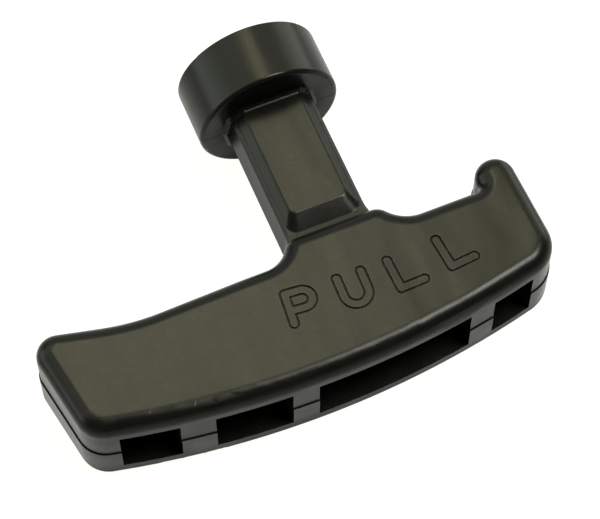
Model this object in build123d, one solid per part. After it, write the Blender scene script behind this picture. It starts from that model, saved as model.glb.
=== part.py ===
"""Pull handle of a recoil starter: two moulded half shells screwed together round the starter rope.

The rope enters the collar through a flanged steel bushing, runs down the stem and ends in a knot
behind a steel retainer washer, inside the long middle pocket of the grip bar.

Frame: the rope's axis is Y and the rope leaves towards +Y. The origin is the mouth of the rope bore,
on the collar's outer end face. X runs along the grip bar, with the long arm on -X and the horn on +X.
+Z is the front face, which carries the legend, and the two shells meet on the plane Z = 0.
"""

import os
from math import asin, atan2, degrees, hypot, sqrt

from build123d import *

os.makedirs("parts", exist_ok=True)

# ---------------------------------------------------------------------------------------------
# Driving dimensions, in millimetres
# ---------------------------------------------------------------------------------------------

# Collar, a round boss on the rope's axis
COLLAR_RADIUS = 19.7
COLLAR_LENGTH = 17.0
COLLAR_RIM_ROUND = 1.2        # the rim that the fingers touch
COLLAR_TOP_ROUND = 0.6
COLLAR_FOOT_ROUND = 1.4       # where the stem runs into the collar's underside
COLLAR_HOLLOW_OUTER = 15.8    # ring-shaped hollow that keeps the moulding's walls even
COLLAR_HOLLOW_INNER = 7.4
COLLAR_HOLLOW_START = 4.5
COLLAR_HOLLOW_END = 13.8

# Stem
STEM_HALF_WIDTH = 12.5        # at the seam, where the stem is widest
STEM_HALF_DEPTH = 7.0
STEM_DRAFT_IN = 1.4           # how far each side leans in from the seam to the ledge
STEM_EDGE_BEVEL = 0.7         # along both edges of the ledge
STEM_OVERLAP = 2.0            # how far the stem reaches into the collar
PAD_HALF_WIDTH = 10.1         # raised pad on the stem's face, at its foot
PAD_RISE = 2.2
PAD_SLOPE = 2.1               # how far its sides lean in over that rise
PAD_END_SLOPE = 4.6           # how far its lower end leans in
PAD_END_Y = -55.2
PAD_FOOT_CORNER = 3.0
PAD_TOP_CORNER = 2.0
PAD_TOP_ROUND = 1.2
PAD_FOOT_ROUND = 0.5
STEM_HOLLOW = (5.9, 9.3, 4.6)  # inner x, outer x and depth of the long hollows beside the rope
STEM_HOLLOW_Y = (-51.0, -27.5)

# Grip bar, in plan
BAR_HALF_DEPTH = 14.2
BAR_EDGE_ROUND = 4.4
OUTER_RADIUS = 255.5          # the long shallow curve of the outer edge
OUTER_APEX = (-15.7, -97.5)
LEFT_END = ((-83.65, -58.3), (-76.3, -100.0))
RIGHT_END = ((49.7, -56.5), (51.0, -100.0))
INNER_EDGE_Y = -64.0
INNER_SLOPE_X = -57.0         # left of this the inner edge rises gently to the end
INNER_SLOPE_ROUND = 60.0
INNER_SLOPE_DROP = 0.65
HORN_LEFT_X = 39.2
HORN_ROUND = 5.3
HORN_FOOT_ROUND = 1.5
ROOT_ROUND_LEFT = 8.0         # where the stem's sides sweep into the bar
ROOT_ROUND_RIGHT = 10.0
CORNER_INNER_LEFT = 5.5
CORNER_OUTER_LEFT = 7.5
CORNER_OUTER_RIGHT = 9.5
FOOT_REACH = 15.0             # how far the stem's foot spreads along the bar on each side
ROOT_TOP_Y = -50.0            # the sweeps into the bar start this far up the stem
BAR_STEP_Y = -58.2            # the full depth of the bar starts here, in a step across the stem
STEP_CORNER = 5.0
STEP_FOOT_ROUND = 1.6

# Pockets that open through the bar's outer edge, as pairs of x
POCKETS = ((-70.6, -55.6), (-46.7, -26.7), (-19.7, 23.1), (30.1, 41.9))
POCKET_HALF_DEPTH = 8.0
POCKET_BACK_Y = -68.0
POCKET_CORNER_ROUND = 1.5

# The rear shell stands this far proud of the front shell along the bar's seam
REAR_PROUD = 0.3

# Rope way
ROPE_BORE_RADIUS = 3.1
STEM_BORE_RADIUS = 3.4
BUSHING_RADIUS = 5.0
BUSHING_LENGTH = 14.0
FLANGE_RADIUS = 7.5
FLANGE_THICKNESS = 1.5

# Knot retainer washer
RETAINER_RADIUS = 7.0
RETAINER_THICKNESS = 1.8
RETAINER_CHAMFER = 0.3

# Self-tapping pan-head screws, entered from the rear
SCREWS = {
    "screw_stem_left": (-7.4, -22.0),
    "screw_stem_right": (7.4, -22.0),
    "screw_bar_left": (-51.15, -80.0),
    "screw_bar_middle": (-23.2, -80.0),
    "screw_bar_right": (26.6, -80.0),
}
SCREW_RADIUS = 1.65
SCREW_CLEARANCE_RADIUS = 1.9
PILOT_GAP = 0.05
HEAD_RADIUS = 3.0
HEAD_HEIGHT = 2.2
HEAD_EDGE_ROUND = 0.88
HEAD_WELL_RADIUS = 3.4
HEAD_WELL_DEPTH = 3.0
SCREW_TIP_Z = 5.0
SCREW_TIP_CHAMFER = 0.7
PILOT_SPARE = 0.5             # how much deeper the pilot holes are than the screws
CROSS_WIDTH = 0.9
CROSS_LENGTH = 3.6
CROSS_DEPTH = 1.2

# Moulded dowel pegs on the front shell, with sockets in the rear shell
PEGS = ((-75.6, -76.0), (46.3, -72.0), (-51.15, -71.0), (26.6, -71.0))
PEG_RADIUS = 1.5
PEG_LENGTH = 3.0
SOCKET_GAP = 0.1

# Engraved legend on the front face, drawn as the outline of round-ended strokes
LETTER_HEIGHT = 10.8
LETTER_WIDTH = 8.8
LETTER_PITCH = 14.3
LETTER_FEET_RADIUS = 240.0
LETTER_FEET_Y = -84.2
LEGEND_CENTRE_X = 4.6
BOWL_SHARE = 0.58             # height of the P's bowl as a share of the letter
STROKE = 2.3
GROOVE = 0.65
GROOVE_DEPTH = 0.45

SPAN = 400.0                  # larger than the part, for cutting tools
TINY = 0.01                   # tolerance for picking edges by place


# ---------------------------------------------------------------------------------------------
# Plan outline of the bar
# ---------------------------------------------------------------------------------------------

def round_corner(sketch, x, y, radius):
    """Round the one corner of a flat sketch that lies nearest to (x, y)."""
    corner = sketch.vertices().sort_by_distance((x, y, 0))[0]
    return fillet(corner, radius)


def outer_curve_y(x):
    """The bar's outer edge at a given x."""
    apex_x, apex_y = OUTER_APEX
    return apex_y + OUTER_RADIUS - sqrt(OUTER_RADIUS**2 - (x - apex_x) ** 2)


def bar_outline():
    """The bar with its horn and the step across the stem, as one face at Z = 0."""
    apex_x, apex_y = OUTER_APEX
    disc = Pos(apex_x, apex_y + OUTER_RADIUS) * Circle(OUTER_RADIUS)
    horn_top = RIGHT_END[0][1]
    corners = [
        LEFT_END[0],
        LEFT_END[1],
        RIGHT_END[1],
        RIGHT_END[0],
        (HORN_LEFT_X, horn_top),
        (HORN_LEFT_X, INNER_EDGE_Y),
        (STEM_HALF_WIDTH, INNER_EDGE_Y),
        (STEM_HALF_WIDTH, ROOT_TOP_Y),
        (-STEM_HALF_WIDTH, ROOT_TOP_Y),
        (-STEM_HALF_WIDTH, INNER_EDGE_Y),
        (-STEM_HALF_WIDTH - FOOT_REACH, INNER_EDGE_Y),
        (INNER_SLOPE_X, INNER_EDGE_Y - INNER_SLOPE_DROP),
    ]
    outline = disc & Polygon(*corners, align=None)
    left_x = LEFT_END[1][0] - 2.0
    right_x = RIGHT_END[1][0]
    outline = round_corner(outline, *LEFT_END[0], CORNER_INNER_LEFT)
    outline = round_corner(outline, left_x, outer_curve_y(left_x), CORNER_OUTER_LEFT)
    outline = round_corner(outline, right_x, outer_curve_y(right_x), CORNER_OUTER_RIGHT)
    outline = round_corner(outline, *RIGHT_END[0], HORN_ROUND)
    outline = round_corner(outline, HORN_LEFT_X, horn_top, HORN_ROUND)
    outline = round_corner(outline, HORN_LEFT_X, INNER_EDGE_Y, HORN_FOOT_ROUND)
    outline = round_corner(outline, STEM_HALF_WIDTH, INNER_EDGE_Y, ROOT_ROUND_RIGHT)
    outline = round_corner(outline, -STEM_HALF_WIDTH, INNER_EDGE_Y, ROOT_ROUND_LEFT)
    outline = round_corner(outline, INNER_SLOPE_X, INNER_EDGE_Y, INNER_SLOPE_ROUND)
    above = ROOT_TOP_Y - BAR_STEP_Y
    outline -= Pos(0, BAR_STEP_Y + above / 2) * Rectangle(3 * STEM_HALF_WIDTH, above)
    step_corners = outline.vertices().filter_by_position(Axis.Y, BAR_STEP_Y - TINY, BAR_STEP_Y + TINY)
    return fillet(step_corners, STEP_CORNER)


# ---------------------------------------------------------------------------------------------
# Outside of one half, standing on Z = 0 and facing +Z
# ---------------------------------------------------------------------------------------------

def y_cylinder(radius, y_start, y_end):
    """A cylinder on the rope's axis between two values of y."""
    length = abs(y_end - y_start)
    middle = (y_start + y_end) / 2
    return Pos(0, middle, 0) * Rot(90, 0, 0) * Cylinder(radius, length)


def box_between(x_pair, y_pair, z_pair):
    """A box given by its limits."""
    size = [abs(pair[1] - pair[0]) for pair in (x_pair, y_pair, z_pair)]
    middle = [(pair[0] + pair[1]) / 2 for pair in (x_pair, y_pair, z_pair)]
    return Pos(*middle) * Box(*size)


def collar():
    body = y_cylinder(COLLAR_RADIUS, 0, -COLLAR_LENGTH)
    rims = body.edges().filter_by(GeomType.CIRCLE).sort_by(Axis.Y)
    body = fillet(rims[0], COLLAR_RIM_ROUND)
    rims = body.edges().filter_by(GeomType.CIRCLE).sort_by(Axis.Y)
    return fillet(rims[-1], COLLAR_TOP_ROUND)


def stem_levels():
    """How far the stem's side leans in at the seam, at the foot of the bevel and at the ledge."""
    bevel_z = STEM_HALF_DEPTH - STEM_EDGE_BEVEL
    bevel_inset = STEM_DRAFT_IN * bevel_z / STEM_HALF_DEPTH
    return [(0, 0), (bevel_z, bevel_inset), (STEM_HALF_DEPTH, STEM_DRAFT_IN + STEM_EDGE_BEVEL)]


def stem():
    """The stem's drafted body."""
    right = [(STEM_HALF_WIDTH - inset, z) for z, inset in stem_levels()]
    left = [(-x, z) for x, z in reversed(right)]
    section = Polygon(*right, *left, align=None)
    start_y = STEM_OVERLAP - COLLAR_LENGTH
    length = start_y - BAR_STEP_Y + BAR_EDGE_ROUND
    return extrude(Plane((0, start_y, 0), x_dir=(1, 0, 0), z_dir=(0, -1, 0)) * section, length)


def pad_outline(inset, end_inset, corner_round):
    """The raised pad in plan, its sides and its lower end the given distances inside its foot."""
    half_width = PAD_HALF_WIDTH - inset
    top_y = STEM_OVERLAP - COLLAR_LENGTH
    low_y = PAD_END_Y + end_inset
    corners = [(-half_width, top_y), (half_width, top_y), (half_width, low_y), (-half_width, low_y)]
    plan = Polygon(*corners, align=None)
    plan = round_corner(plan, -half_width, low_y, corner_round)
    return round_corner(plan, half_width, low_y, corner_round)


def pad():
    """The raised pad on the stem's face, with sloping sides and a rounded upper edge."""
    base = Pos(0, 0, STEM_HALF_DEPTH) * pad_outline(0, 0, PAD_FOOT_CORNER)
    top = Pos(0, 0, STEM_HALF_DEPTH + PAD_RISE) * pad_outline(PAD_SLOPE, PAD_END_SLOPE, PAD_TOP_CORNER)
    body = loft([base, top], ruled=True)
    rim = body.edges().group_by(Axis.Z)[-1].sort_by(Axis.Y)[:-1]
    return fillet(rim, PAD_TOP_ROUND)


def foot_outline(half_width, left_round, right_round):
    """The stem's foot in plan, sweeping out to the bar's inner edge."""
    reach = FOOT_REACH + STEM_HALF_WIDTH - half_width
    inside_y = INNER_EDGE_Y - BAR_EDGE_ROUND
    corners = [
        (-half_width, ROOT_TOP_Y),
        (half_width, ROOT_TOP_Y),
        (half_width, INNER_EDGE_Y),
        (half_width + reach, INNER_EDGE_Y),
        (half_width + reach, inside_y),
        (-half_width - reach, inside_y),
        (-half_width - reach, INNER_EDGE_Y),
        (-half_width, INNER_EDGE_Y),
    ]
    plan = Polygon(*corners, align=None)
    plan = round_corner(plan, half_width, INNER_EDGE_Y, right_round)
    return round_corner(plan, -half_width, INNER_EDGE_Y, left_round)


def foot():
    """The drafted foot of the stem, as deep as the stem."""
    plans = []
    for z, inset in stem_levels():
        plan = foot_outline(STEM_HALF_WIDTH - inset, ROOT_ROUND_LEFT + inset, ROOT_ROUND_RIGHT + inset)
        plans.append(Pos(0, 0, z) * plan)
    return loft(plans, ruled=True)


def grip_bar(proud):
    """The bar at full depth, with rounded edges."""
    outline = bar_outline()
    if proud:
        outline = offset(outline, amount=proud, kind=Kind.ARC)
    block = extrude(outline, BAR_HALF_DEPTH)
    top_edges = block.edges().group_by(Axis.Z)[-1]
    return fillet(top_edges, BAR_EDGE_ROUND - proud)


def edges_between(form, y_pair, z_pair, half_width=SPAN):
    """The edges of a form that lie wholly between two values of y and two of z."""
    edges = form.edges()
    edges = edges.filter_by_position(Axis.Y, y_pair[0] - TINY, y_pair[1] + TINY)
    edges = edges.filter_by_position(Axis.Z, z_pair[0] - TINY, z_pair[1] + TINY)
    return edges.filter_by_position(Axis.X, -half_width - TINY, half_width + TINY)


def outside(proud):
    """The closed outer form of one half, whose bar stands proud by the given amount."""
    ledge = (STEM_HALF_DEPTH, STEM_HALF_DEPTH)
    step_y = BAR_STEP_Y + proud
    form = grip_bar(proud) + foot() + stem()
    form = fillet(edges_between(form, (step_y, step_y), ledge), STEP_FOOT_ROUND)
    form += pad()
    form = fillet(edges_between(form, (PAD_END_Y, 0), ledge, PAD_HALF_WIDTH), PAD_FOOT_ROUND)
    form += collar()
    underside = (-COLLAR_LENGTH, -COLLAR_LENGTH)
    joint = edges_between(form, underside, (0, COLLAR_RADIUS), STEM_HALF_WIDTH)
    form = fillet(joint, COLLAR_FOOT_ROUND)
    half_space = box_between((-SPAN, SPAN), (-SPAN, SPAN), (0, SPAN))
    return form & half_space


# ---------------------------------------------------------------------------------------------
# Inside of one half
# ---------------------------------------------------------------------------------------------

def pockets():
    """The pockets behind the windows, open at the seam and through the outer edge."""
    cuts = []
    for left, right in POCKETS:
        width = right - left
        far = -SPAN / 2
        plan = Pos((left + right) / 2, (POCKET_BACK_Y + far) / 2) * Rectangle(width, POCKET_BACK_Y - far)
        plan = round_corner(plan, left, POCKET_BACK_Y, POCKET_CORNER_ROUND)
        plan = round_corner(plan, right, POCKET_BACK_Y, POCKET_CORNER_ROUND)
        cuts.append(extrude(plan, POCKET_HALF_DEPTH))
    return cuts


def rope_way():
    """The bore down the stem, and the seat of the bushing in the collar."""
    bore = y_cylinder(STEM_BORE_RADIUS, 0, POCKET_BACK_Y - 1.0)
    seat = y_cylinder(BUSHING_RADIUS, 0, -BUSHING_LENGTH)
    flange_seat = y_cylinder(FLANGE_RADIUS, 1.0, -FLANGE_THICKNESS)
    return [bore, seat, flange_seat]


def hollows():
    """Hollows that thin the collar and the stem to even walls, open only at the seam."""
    ring = y_cylinder(COLLAR_HOLLOW_OUTER, -COLLAR_HOLLOW_START, -COLLAR_HOLLOW_END)
    ring -= y_cylinder(COLLAR_HOLLOW_INNER, 0, -COLLAR_LENGTH)
    inner, outer, depth = STEM_HOLLOW
    left = box_between((-outer, -inner), STEM_HOLLOW_Y, (-1, depth))
    right = box_between((inner, outer), STEM_HOLLOW_Y, (-1, depth))
    return [ring, left, right]


def base_half(outer_form):
    """One half shell without its screw and dowel details, facing +Z."""
    shell = outer_form
    for cut in pockets() + rope_way() + hollows():
        shell -= cut
    return shell


# ---------------------------------------------------------------------------------------------
# The legend
# ---------------------------------------------------------------------------------------------

def stroke(start, end):
    """A round-ended stroke between two points."""
    dx = end[0] - start[0]
    dy = end[1] - start[1]
    middle = Pos((start[0] + end[0]) / 2, (start[1] + end[1]) / 2)
    return middle * Rot(0, 0, degrees(atan2(dy, dx))) * SlotCenterToCenter(hypot(dx, dy), STROKE)


def half_ring(x, y, radius, opening):
    """Half of a ring of stroke width, whose open side faces the given direction in degrees."""
    ring = Circle(radius + STROKE / 2) - Circle(radius - STROKE / 2)
    keep = Pos(-SPAN / 2, 0) * Rectangle(SPAN, SPAN)
    return Pos(x, y) * Rot(0, 0, opening) * (ring & keep)


def letter_p(width, height):
    bowl = height * BOWL_SHARE / 2
    bowl_x = width - bowl
    bowl_y = height - bowl
    letter = stroke((0, 0), (0, height))
    letter += stroke((0, height), (bowl_x, height))
    letter += stroke((0, height - 2 * bowl), (bowl_x, height - 2 * bowl))
    return letter + half_ring(bowl_x, bowl_y, bowl, 180)


def letter_u(width, height):
    bowl = width / 2
    letter = stroke((0, bowl), (0, height))
    letter += stroke((width, bowl), (width, height))
    return letter + half_ring(bowl, bowl, bowl, 90)


def letter_l(width, height):
    return stroke((0, 0), (0, height)) + stroke((0, 0), (width, 0))


def legend():
    """The grooves that draw each letter's outline, standing round the face of the bar."""
    width = LETTER_WIDTH - STROKE
    height = LETTER_HEIGHT - STROKE
    letters = [letter_p, letter_u, letter_l, letter_l]
    cuts = []
    for index, draw in enumerate(letters):
        along = (index - (len(letters) - 1) / 2) * LETTER_PITCH
        lean = degrees(asin(along / LETTER_FEET_RADIUS))
        turn = Pos(LEGEND_CENTRE_X, LETTER_FEET_Y + LETTER_FEET_RADIUS) * Rot(0, 0, lean)
        place = turn * Pos(-width / 2, STROKE / 2 - LETTER_FEET_RADIUS)
        letter = draw(width, height)
        line = offset(letter, GROOVE / 2) - offset(letter, -GROOVE / 2)
        cuts.append(extrude(Pos(0, 0, BAR_HALF_DEPTH - GROOVE_DEPTH) * place * line, 1.0))
    return cuts


# ---------------------------------------------------------------------------------------------
# The pieces
# ---------------------------------------------------------------------------------------------

def front_shell():
    """Front half: carries the legend, the dowel pegs and the screws' pilot holes."""
    shell = base_half(outside(0))
    for cut in legend():
        shell -= cut
    for x, y in SCREWS.values():
        depth = SCREW_TIP_Z + PILOT_SPARE
        shell -= Pos(x, y, depth / 2) * Cylinder(SCREW_RADIUS + PILOT_GAP, depth)
    for x, y in PEGS:
        shell += Pos(x, y, 0) * Cylinder(PEG_RADIUS, 2 * PEG_LENGTH)
    return shell


def rear_shell():
    """Rear half: has the dowel sockets and the wells for the screw heads."""
    shell = mirror(base_half(outside(REAR_PROUD)), about=Plane.XY)
    for name, (x, y) in SCREWS.items():
        face_z = -rear_face_depth(name)
        shell -= Pos(x, y, face_z / 2) * Cylinder(SCREW_CLEARANCE_RADIUS, -face_z)
        shell -= head_well(x, y, face_z + HEAD_WELL_DEPTH)
    for x, y in PEGS:
        depth = PEG_LENGTH + SOCKET_GAP
        shell -= Pos(x, y, -depth / 2) * Cylinder(PEG_RADIUS + SOCKET_GAP, depth)
    return shell


def rear_face_depth(name):
    """How deep the rear face lies below the seam where a screw enters."""
    if name.startswith("screw_stem"):
        return STEM_HALF_DEPTH + PAD_RISE
    return BAR_HALF_DEPTH


def head_well(x, y, floor_z):
    """A round well from the floor that the screw head sits on, out through the rear face."""
    height = SPAN / 4
    return Pos(x, y, floor_z - height / 2) * Cylinder(HEAD_WELL_RADIUS, height)


def rope_bushing():
    """Flanged steel bushing that the rope leaves through."""
    tube = y_cylinder(BUSHING_RADIUS, 0, -BUSHING_LENGTH)
    flange = y_cylinder(FLANGE_RADIUS, 0, -FLANGE_THICKNESS)
    return tube + flange - y_cylinder(ROPE_BORE_RADIUS, 1.0, -BUSHING_LENGTH - 1.0)


def knot_retainer():
    """Steel washer that the rope's knot pulls against the back of the middle pocket."""
    front = POCKET_BACK_Y
    washer = y_cylinder(RETAINER_RADIUS, front, front - RETAINER_THICKNESS)
    washer = chamfer(washer.edges().filter_by(GeomType.CIRCLE), RETAINER_CHAMFER)
    return washer - y_cylinder(ROPE_BORE_RADIUS, front + 1.0, front - RETAINER_THICKNESS - 1.0)


def screw(name):
    """Pan-head self-tapping screw with a cross recess, entered from the rear."""
    x, y = SCREWS[name]
    seat_z = HEAD_WELL_DEPTH - rear_face_depth(name)
    head = Pos(0, 0, seat_z - HEAD_HEIGHT / 2) * Cylinder(HEAD_RADIUS, HEAD_HEIGHT)
    rim = head.edges().filter_by(GeomType.CIRCLE).sort_by(Axis.Z)[0]
    head = fillet(rim, HEAD_EDGE_ROUND)
    shank_length = SCREW_TIP_Z - seat_z
    shank = Pos(0, 0, seat_z + shank_length / 2) * Cylinder(SCREW_RADIUS, shank_length)
    tip = shank.edges().filter_by(GeomType.CIRCLE).sort_by(Axis.Z)[-1]
    shank = chamfer(tip, SCREW_TIP_CHAMFER)
    recess_z = seat_z - HEAD_HEIGHT + CROSS_DEPTH / 2
    cross = Box(CROSS_LENGTH, CROSS_WIDTH, CROSS_DEPTH) + Box(CROSS_WIDTH, CROSS_LENGTH, CROSS_DEPTH)
    return Pos(x, y, 0) * (head + shank - Pos(0, 0, recess_z) * cross)


PIECES = {
    "front_shell": front_shell(),
    "rear_shell": rear_shell(),
    "rope_bushing": rope_bushing(),
    "knot_retainer": knot_retainer(),
}
for screw_name in SCREWS:
    PIECES[screw_name] = screw(screw_name)

for node, solid in PIECES.items():
    solid.label = node
    export_step(solid, f"parts/{node}.step")
    print(node, round(solid.volume / 1000, 2), "cm3")
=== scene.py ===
"""Looks for the pull handle of a recoil starter, lying face up on a white floor.

The two shells are semi-gloss black moulded plastic, and the small parts are zinc-plated steel.
Lengths are in metres. The axes are the part's own: +Y along the rope as it leaves the handle,
+X along the grip bar towards its horn, and +Z out of the front face.
"""

import math

import bpy
from mathutils import Matrix, Vector


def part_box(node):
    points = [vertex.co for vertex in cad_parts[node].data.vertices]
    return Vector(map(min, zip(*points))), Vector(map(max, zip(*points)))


MM = 0.001
Y_AXIS = 1
Z_AXIS = 2

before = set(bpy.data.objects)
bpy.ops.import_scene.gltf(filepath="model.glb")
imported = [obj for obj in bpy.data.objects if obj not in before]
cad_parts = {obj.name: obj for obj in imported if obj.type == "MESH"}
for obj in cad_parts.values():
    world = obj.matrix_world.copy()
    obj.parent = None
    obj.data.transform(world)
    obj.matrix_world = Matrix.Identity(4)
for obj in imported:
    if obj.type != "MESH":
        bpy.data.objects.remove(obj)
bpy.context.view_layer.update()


# ---------------------------------------------------------------------------------------------
# Node trees
# ---------------------------------------------------------------------------------------------

NUMBER_OPERATIONS = ("DISTANCE", "DOT_PRODUCT", "LENGTH")


class Nodes:
    """Short calls for building the node tree of a material or a world."""

    def __init__(self, owner, coordinates="Object"):
        owner.use_nodes = True
        self.owner = owner
        self.tree = owner.node_tree
        self.place = self.add("ShaderNodeTexCoord").outputs[coordinates]

    def add(self, kind, inputs=None, **settings):
        node = self.tree.nodes.new(kind)
        for key, value in settings.items():
            setattr(node, key, value)
        for key, value in (inputs or {}).items():
            self.feed(node.inputs[key], value)
        return node

    def feed(self, socket, value):
        """Link an output to the socket, or set the socket to a plain value."""
        if isinstance(value, bpy.types.NodeSocket):
            self.tree.links.new(value, socket)
        else:
            socket.default_value = value

    def shade(self, inputs):
        """Set the inputs of the material's surface shader."""
        shader = self.tree.nodes["Principled BSDF"]
        for key, value in inputs.items():
            self.feed(shader.inputs[key], value)

    def noise(self, size, detail=3.0, roughness=0.5, distortion=0.0, place=None):
        """Noise with features of the given size, from 0 to 1."""
        inputs = {"Vector": place or self.place, "Scale": 1.0 / size, "Detail": detail,
                  "Roughness": roughness, "Distortion": distortion}
        return self.add("ShaderNodeTexNoise", inputs).outputs["Fac"]

    def math(self, operation, first, second=0.0, clamp=False):
        node = self.add("ShaderNodeMath", {0: first, 1: second}, operation=operation, use_clamp=clamp)
        return node.outputs["Value"]

    def vector(self, operation, *inputs):
        """A vector operation, whose result is a number or a vector."""
        node = self.add("ShaderNodeVectorMath", dict(enumerate(inputs)), operation=operation)
        return node.outputs["Value" if operation in NUMBER_OPERATIONS else "Vector"]

    def ramp(self, value, span, results=(0.0, 1.0), curve="SMOOTHSTEP"):
        """Smooth step from the first result to the second as the value crosses the span."""
        inputs = {"Value": value, "From Min": span[0], "From Max": span[1],
                  "To Min": results[0], "To Max": results[1]}
        return self.add("ShaderNodeMapRange", inputs, interpolation_type=curve).outputs["Result"]

    def blend(self, factor, first, second):
        """Colour that goes from first to second as the factor goes from 0 to 1."""
        node = self.add("ShaderNodeMix", {"Factor": factor}, data_type="RGBA")
        colours = [socket for socket in node.inputs if socket.type == "RGBA"]
        self.feed(colours[0], first)
        self.feed(colours[1], second)
        return [socket for socket in node.outputs if socket.type == "RGBA"][0]

    def bump(self, height, distance, strength=1.0, under=None):
        """Surface direction over a relief, on top of the relief under it if there is one."""
        inputs = {"Height": height, "Distance": distance, "Strength": strength}
        if under is not None:
            inputs["Normal"] = under
        return self.add("ShaderNodeBump", inputs).outputs["Normal"]

    def flatness(self, reach):
        """1 where the surface is flat within the reach, and less where it turns."""
        soft = self.add("ShaderNodeBevel", {"Radius": reach}, samples=6).outputs["Normal"]
        true = self.add("ShaderNodeNewGeometry").outputs["Normal"]
        return self.vector("DOT_PRODUCT", soft, true)

    def openness(self, reach):
        """1 on an open surface, falling to 0 deep between walls that are within the reach."""
        return self.add("ShaderNodeAmbientOcclusion", {"Distance": reach}, samples=8).outputs["AO"]


def grey(level):
    return (level, level, level, 1)


# ---------------------------------------------------------------------------------------------
# Camera: in front of the outer edge and to the left, looking down on the front face
# ---------------------------------------------------------------------------------------------

CAMERA_PLACE = Vector((-117.39, -314.35, 550.70)) * MM
CAMERA_AIM = Vector((-9.00, -59.25, 0.0)) * MM
CAMERA_ROLL = math.radians(0.294)
FOCAL_LENGTH = 143.25           # this and the sensor's width are in millimetres, as Blender has them
SENSOR_WIDTH = 36.0
NEAREST = 0.01
FARTHEST = 60.0


def add_camera():
    data = bpy.data.cameras.new("camera")
    data.sensor_fit = "HORIZONTAL"
    data.sensor_width = SENSOR_WIDTH
    data.lens = FOCAL_LENGTH
    data.clip_start = NEAREST
    data.clip_end = FARTHEST
    camera = bpy.data.objects.new("camera", data)
    bpy.context.scene.collection.objects.link(camera)
    aim = (CAMERA_AIM - CAMERA_PLACE).to_track_quat("-Z", "Y").to_matrix().to_4x4()
    roll = Matrix.Rotation(CAMERA_ROLL, 4, "Z")
    camera.matrix_world = Matrix.Translation(CAMERA_PLACE) @ aim @ roll
    bpy.context.scene.camera = camera


# ---------------------------------------------------------------------------------------------
# Floor
# ---------------------------------------------------------------------------------------------

FLOOR_HALF = 8.0
FLOOR_GREY = 0.10               # dark, because the floor's white is a glow of its own
FLOOR_ROUGHNESS = 0.8
GLOW_COLOUR = (1, 1, 0.955, 1)
GLOW_CENTRE = (-16 * MM, -55 * MM, 0)
GLOW_RADII = (115 * MM, 300 * MM)   # distances where the glow starts and stops fading
GLOW_LEVELS = (0.98, 0.45)      # the glow inside the first distance, and past the second
COLLAR_LOW_Y = -16.0 * MM       # the collar's rear rim, where the part rests
BAR_LOW_Y = -91.0 * MM          # the bar's outer rear edge, where it also rests
BAR_LOW_Z = -14.2 * MM
FLOOR_GAP = 0.3 * MM


def floor_material():
    nodes = Nodes(bpy.data.materials.new("floor"))
    distance = nodes.vector("DISTANCE", nodes.place, GLOW_CENTRE)
    nodes.shade({
        "Base Color": grey(FLOOR_GREY),
        "Roughness": FLOOR_ROUGHNESS,
        "Specular IOR Level": 0.0,
        "Emission Color": GLOW_COLOUR,
        "Emission Strength": nodes.ramp(distance, GLOW_RADII, GLOW_LEVELS),
    })
    return nodes.owner


def add_floor():
    """A flat floor, sloped to pass just under the collar's rim and the bar's edge."""
    sides = ((-1, -1), (1, -1), (1, 1), (-1, 1))
    corners = [(x * FLOOR_HALF, y * FLOOR_HALF, 0) for x, y in sides]
    mesh = bpy.data.meshes.new("floor")
    mesh.from_pydata(corners, [], [(0, 1, 2, 3)])
    mesh.materials.append(floor_material())
    floor = bpy.data.objects.new("floor", mesh)
    bpy.context.scene.collection.objects.link(floor)
    collar_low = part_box("rear_shell")[0].z
    slope = (collar_low - BAR_LOW_Z) / (COLLAR_LOW_Y - BAR_LOW_Y)
    floor.rotation_euler = (math.atan(slope), 0, 0)
    floor.location = (0, 0, collar_low - slope * COLLAR_LOW_Y - FLOOR_GAP)


# ---------------------------------------------------------------------------------------------
# Light
# ---------------------------------------------------------------------------------------------

# Height of a direction, from the horizon at 0 to straight up at 1, and the room's brightness
# there. Below the horizon the room is as bright as on it.
ROOM = ((0.0, 0.55), (0.12, 0.40), (0.28, 0.06), (1.0, 0.05))

# Soft patches of light in the room: direction, reach in degrees, radiance at the middle, colour
PATCHES = (
    ((0.11, 0.41, 0.90), 12, 12.0, (1.0, 0.98, 0.72)),
    ((0.13, 0.37, 0.92), 35, 1.15, (1.0, 0.98, 0.72)),
    ((0.37, -0.14, 0.92), 15, 34.0, (0.98, 1.0, 0.98)),
    ((0.19, 0.02, 0.98), 12, 3.0, (0.98, 1.0, 0.98)),
    ((-0.50, 0.48, 0.72), 30, 2.6, (0.94, 1.0, 0.86)),
    ((-0.88, 0.42, 0.15), 32, 3.6, (0.90, 1.0, 0.94)),
    ((0.66, 0.45, 0.60), 24, 1.6, (0.94, 1.0, 0.86)),
    ((0.88, 0.45, 0.12), 28, 3.8, (0.94, 1.0, 0.86)),
    ((0.10, 0.85, 0.50), 40, 1.0, (0.92, 0.99, 0.98)),
)


def add_room():
    """A dim room with a pale horizon and soft patches of light, so that rounded edges stay dark."""
    world = bpy.data.worlds.new("world")
    bpy.context.scene.world = world
    nodes = Nodes(world, "Generated")
    height = nodes.add("ShaderNodeSeparateXYZ", {"Vector": nodes.place}).outputs["Z"]
    levels = nodes.add("ShaderNodeValToRGB", {"Fac": height})
    stops = levels.color_ramp.elements
    for position, _ in ROOM[1:-1]:
        stops.new(position)
    for stop, (_, level) in zip(stops, ROOM):
        stop.color = grey(level)
    total = levels.outputs["Color"]
    for direction, reach, radiance, colour in PATCHES:
        near = nodes.vector("DOT_PRODUCT", nodes.place, Vector(direction).normalized())
        fade = nodes.ramp(near, (math.cos(math.radians(reach)), 1.0), curve="SMOOTHERSTEP")
        total = nodes.vector("MULTIPLY_ADD", fade, Vector(colour) * radiance, total)
    nodes.feed(nodes.tree.nodes["Background"].inputs["Color"], total)


# ---------------------------------------------------------------------------------------------
# Black plastic of the shells
# ---------------------------------------------------------------------------------------------

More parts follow.
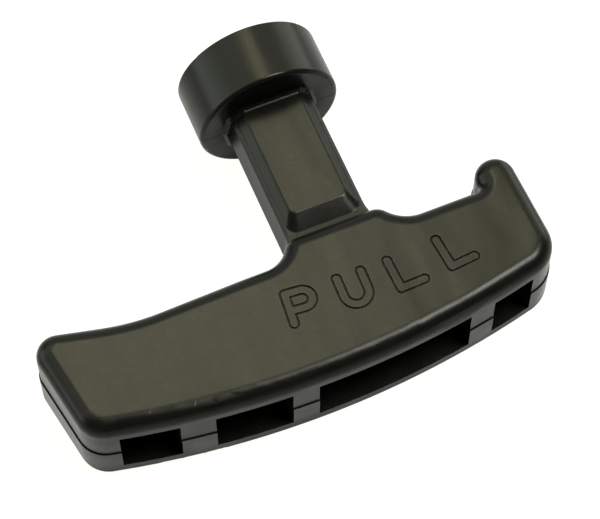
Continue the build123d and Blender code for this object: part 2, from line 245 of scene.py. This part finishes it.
# A span is the two values between which an effect goes from none to all of it. A share is how much
# of a mark's colour shows at most.

NOISE_MIDDLE = (0.3, 0.7)       # most of a noise lies in this span

BLACK = (0.0026, 0.0027, 0.0020, 1)
BLACK_CLOUD = (0.0038, 0.0039, 0.0029, 1)
BLACK_FLOW = (0.0070, 0.0070, 0.0055, 1)
FLOW_SPAN = (0.45, 0.75)
FLOW_SHARE = 0.2

WORN_GREY = (0.085, 0.084, 0.075, 1)
WORN_REACH = 0.5 * MM
WORN_TURN = (0.985, 0.90)       # span of the surface's flatness
WORN_SPAN = (0.35, 0.65)
WORN_PATCHES = (0.2, 0.8)       # least and most wear from place to place along an edge
WORN_SHARE = 0.35

# painted shade: a dark line along the seam stands in for the shadow in the joint between the shells
SEAM_PAINTED_SHADE = (0.004, 0.004, 0.0035, 1)
SEAM_SPAN = (0.30 * MM, 0.12 * MM)  # distances from the plane where the shells meet, over which the painted seam shade and its roughness fade in
SEAM_ROUGHNESS = 0.3

ROUGHNESS = (0.27, 0.29)
SPECK_SPAN = (0.55, 0.75)
SPECK_ROUGHNESS = 0.04
INDEX_OF_REFRACTION = 1.45
SHEEN_TINT = (1.0, 0.985, 0.90, 1)
SHEEN_LEVEL = 0.16              # reflection level of the open moulded skin; pockets and creases lose it, as painted shade
CREASE_SHADE_REACH = 14 * MM
CREASE_SHADE_SPAN = (0.45, 0.88)        # span of the surface's openness over which the painted crease shade fades out

WAVE_STRETCH = (1.0, 0.35, 1.0)
WAVE_DEPTH = 0.35 * MM
CLOUD_DEPTH = 0.10 * MM
CLOUD_STRENGTH = 0.08
GRAIN_DEPTH = 0.010 * MM
GRAIN_STRENGTH = 0.25


def plastic():
    """Black nylon off a finely eroded mould, with flow marks, slightly worn edges, painted shade along the
    seam, and reflections faded out in pockets and creases as painted shade.
    """
    nodes = Nodes(bpy.data.materials.new("shell_plastic"))
    stretched = nodes.vector("MULTIPLY", nodes.place, WAVE_STRETCH)
    waves = nodes.noise(size=12 * MM, detail=1.5, place=stretched)
    cloud = nodes.noise(size=9 * MM, detail=4.0, roughness=0.55)
    flow = nodes.noise(size=2.4 * MM, detail=5.0, roughness=0.6, distortion=0.4)
    speck = nodes.noise(size=0.55 * MM, detail=1.0)
    grain = nodes.noise(size=0.22 * MM, detail=2.0, roughness=0.6)
    height = nodes.add("ShaderNodeSeparateXYZ", {"Vector": nodes.place}).outputs["Z"]
    # band along the seam that takes its painted shade and its extra roughness
    seam = nodes.ramp(nodes.math("ABSOLUTE", height), SEAM_SPAN)
    turned = nodes.ramp(nodes.flatness(WORN_REACH), WORN_TURN)
    worn = nodes.math("MULTIPLY", turned, nodes.ramp(flow, WORN_SPAN, WORN_PATCHES))

    base = nodes.blend(nodes.ramp(cloud, NOISE_MIDDLE), BLACK, BLACK_CLOUD)
    base = nodes.blend(nodes.ramp(flow, FLOW_SPAN, (0.0, FLOW_SHARE)), base, BLACK_FLOW)
    base = nodes.blend(nodes.math("MULTIPLY", worn, WORN_SHARE), base, WORN_GREY)
    # painted shade along the seam
    base = nodes.blend(seam, base, SEAM_PAINTED_SHADE)

    rough = nodes.ramp(flow, NOISE_MIDDLE, ROUGHNESS)
    rough = nodes.math("ADD", rough, nodes.ramp(speck, SPECK_SPAN, (0.0, SPECK_ROUGHNESS)))
    rough = nodes.math("ADD", rough, nodes.math("MULTIPLY", seam, SEAM_ROUGHNESS), clamp=True)

    surface = nodes.bump(waves, WAVE_DEPTH)
    surface = nodes.bump(cloud, CLOUD_DEPTH, CLOUD_STRENGTH, surface)
    surface = nodes.bump(grain, GRAIN_DEPTH, GRAIN_STRENGTH, surface)

    nodes.shade({
        "Base Color": base,
        "Roughness": rough,
        "IOR": INDEX_OF_REFRACTION,
        # painted shade: reflection fades to nothing where walls close in, darkening pockets and creases
        "Specular IOR Level": nodes.ramp(nodes.openness(CREASE_SHADE_REACH), CREASE_SHADE_SPAN, (0.0, SHEEN_LEVEL)),
        "Specular Tint": SHEEN_TINT,
        "Normal": surface,
    })
    return nodes.owner


# ---------------------------------------------------------------------------------------------
# Zinc-plated steel of the small parts
# ---------------------------------------------------------------------------------------------

ZINC = (0.50, 0.50, 0.49, 1)
ZINC_CLOUD = (0.66, 0.65, 0.61, 1)
ZINC_ROUGHNESS = (0.26, 0.38)
SCUFF_GREY = (0.30, 0.30, 0.31, 1)
SCUFF_SPAN = (0.58, 0.70)
SCUFF_SHARE = 0.5
SCUFF_STRENGTH = 0.3
RING_PITCH = 0.12 * MM
RING_SPAN = (0.4, 0.6)
RING_ROUGHNESS = 0.08
RING_STRENGTH = 0.4
TURNED_DEPTH = 0.02 * MM        # depth of both the rings and the scuffs


def zinc_steel(name, axis, centre):
    """Turned steel: fine rings round the axis through the centre, cloudy plating and scuffs."""
    nodes = Nodes(bpy.data.materials.new(name))
    across = tuple(0.0 if index == axis else 1.0 for index in range(3))
    offset = nodes.vector("MULTIPLY", nodes.vector("SUBTRACT", nodes.place, centre), across)
    turns = nodes.math("MULTIPLY", nodes.vector("LENGTH", offset), 1 / RING_PITCH)
    rings = nodes.add("ShaderNodeTexNoise", {"W": turns, "Scale": 1.0}, noise_dimensions="1D").outputs["Fac"]
    cloud = nodes.noise(size=1.6 * MM, detail=4.0, distortion=0.6)
    scuff = nodes.noise(size=0.5 * MM, detail=6.0, roughness=0.7)

    base = nodes.blend(nodes.ramp(cloud, NOISE_MIDDLE), ZINC, ZINC_CLOUD)
    base = nodes.blend(nodes.ramp(scuff, SCUFF_SPAN, (0.0, SCUFF_SHARE)), base, SCUFF_GREY)
    rough = nodes.math("ADD", nodes.ramp(cloud, NOISE_MIDDLE, ZINC_ROUGHNESS),
                       nodes.ramp(rings, RING_SPAN, (0.0, RING_ROUGHNESS)))
    surface = nodes.bump(rings, TURNED_DEPTH, RING_STRENGTH)
    surface = nodes.bump(scuff, TURNED_DEPTH, SCUFF_STRENGTH, surface)
    nodes.shade({"Base Color": base, "Metallic": 1.0, "Roughness": rough, "Normal": surface})
    return nodes.owner


# ---------------------------------------------------------------------------------------------
# The pieces
# ---------------------------------------------------------------------------------------------

WELD_REACH = 0.001 * MM
HARD_EDGE = math.radians(25)


def put(node, material):
    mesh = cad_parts[node].data
    mesh.materials.clear()
    mesh.materials.append(material)


def smooth_rounds(node):
    """Even shading over the rounded edges, which the triangles alone give in uneven steps."""
    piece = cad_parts[node]
    weld = piece.modifiers.new("weld", "WELD")
    weld.merge_threshold = WELD_REACH
    split = piece.modifiers.new("split", "EDGE_SPLIT")
    split.split_angle = HARD_EDGE
    split.use_edge_sharp = False
    piece.modifiers.new("shade", "WEIGHTED_NORMAL")


def dress_pieces():
    shell_plastic = plastic()
    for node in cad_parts:
        low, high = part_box(node)
        centre = (Vector(low) + Vector(high)) / 2
        if node.endswith("shell"):
            put(node, shell_plastic)
            smooth_rounds(node)
        else:
            axis = Z_AXIS if node.startswith("screw") else Y_AXIS
            put(node, zinc_steel("zinc_" + node, axis, centre))


bpy.context.scene.view_settings.view_transform = "Standard"
add_camera()
add_floor()
add_room()
dress_pieces()
